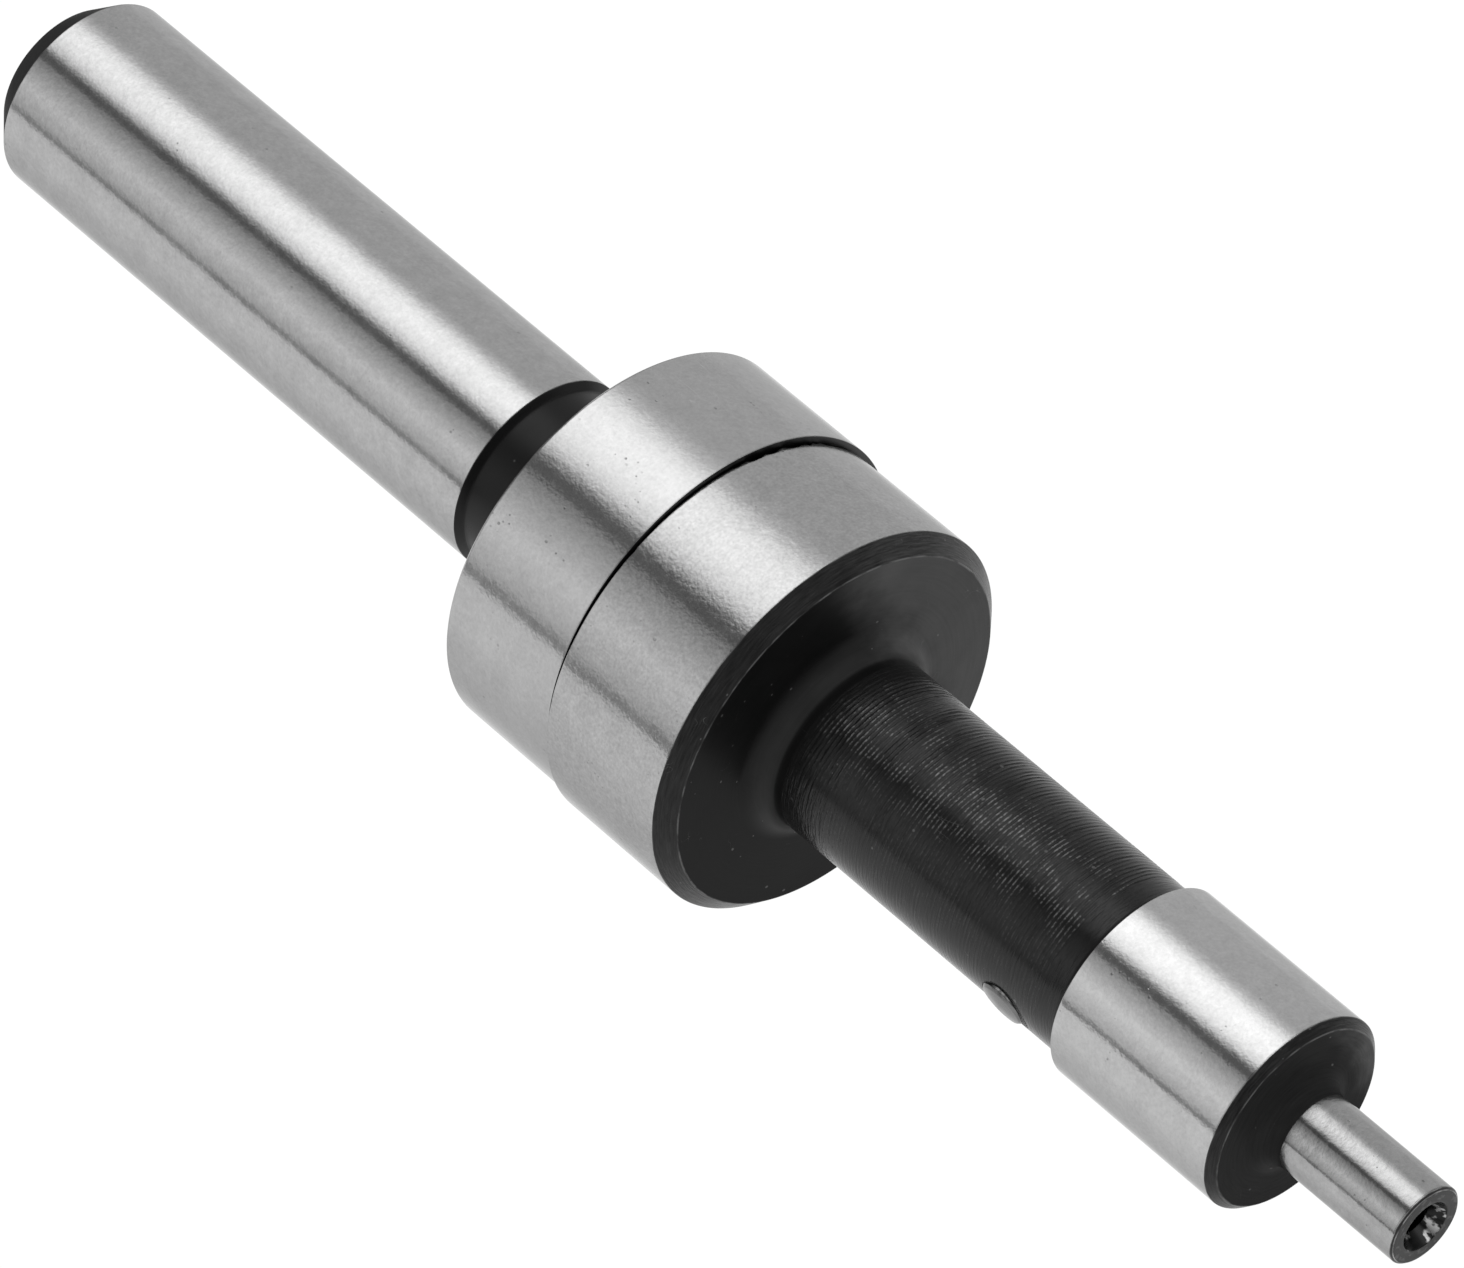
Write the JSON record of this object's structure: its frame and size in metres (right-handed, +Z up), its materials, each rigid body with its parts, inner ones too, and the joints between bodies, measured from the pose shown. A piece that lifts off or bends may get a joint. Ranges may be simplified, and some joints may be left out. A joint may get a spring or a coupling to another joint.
{
  "type": "mechanical edge finder",
  "caption": "Spring-loaded edge finder: ground shank and disc head, and a probe half with a blackened neck, a large and a small contact.",
  "frame": {"origin": "centre of the shank's end face, where the 10 mm shank starts and a collet or chuck holds the tool", "axes": "+X along the tool's axis from the shank's end to the small contact, +Z up with the tool lying level, +Y to the side"},
  "size_m": [0.0912, 0.0201, 0.0203],
  "materials": {
    "ground_steel": "cylindrically ground bright steel on the shank, head, contact and tip; black oxide is left in the relief, on the chamfers and faces and on the turned neck",
    "pin_steel": "plain hardened steel pin, bright",
    "spring_steel": "oiled music wire"
  },
  "bodies": {
    "shank_half": {"shank_body": "ground_steel"},
    "spring_anchor": {"anchor_pin": "pin_steel"},
    "spring": {"tension_spring": "spring_steel"},
    "probe_half": {"probe_body": "ground_steel", "cross_pin": "pin_steel"}
  },
  "joints": [
    {"name": "probe_spin", "type": "hinge", "parent": "shank_half", "child": "spring_anchor", "pos_m": [0, 0, 0], "axis": [1, 0, 0], "continuous": true},
    {"name": "probe_offset", "type": "slide", "parent": "spring_anchor", "child": "spring", "axis": [0, 0.4091, 0.9125], "range_m": [-0.00088, 0.00152], "deforming": ["tension_spring"]},
    {"name": "probe_pull", "type": "slide", "parent": "spring", "child": "probe_half", "axis": [1, 0, 0], "range_m": [0, 0.004], "stiffness_N_per_m": 240, "springref_m": -0.0333, "deforming": ["tension_spring"]}
  ]
}
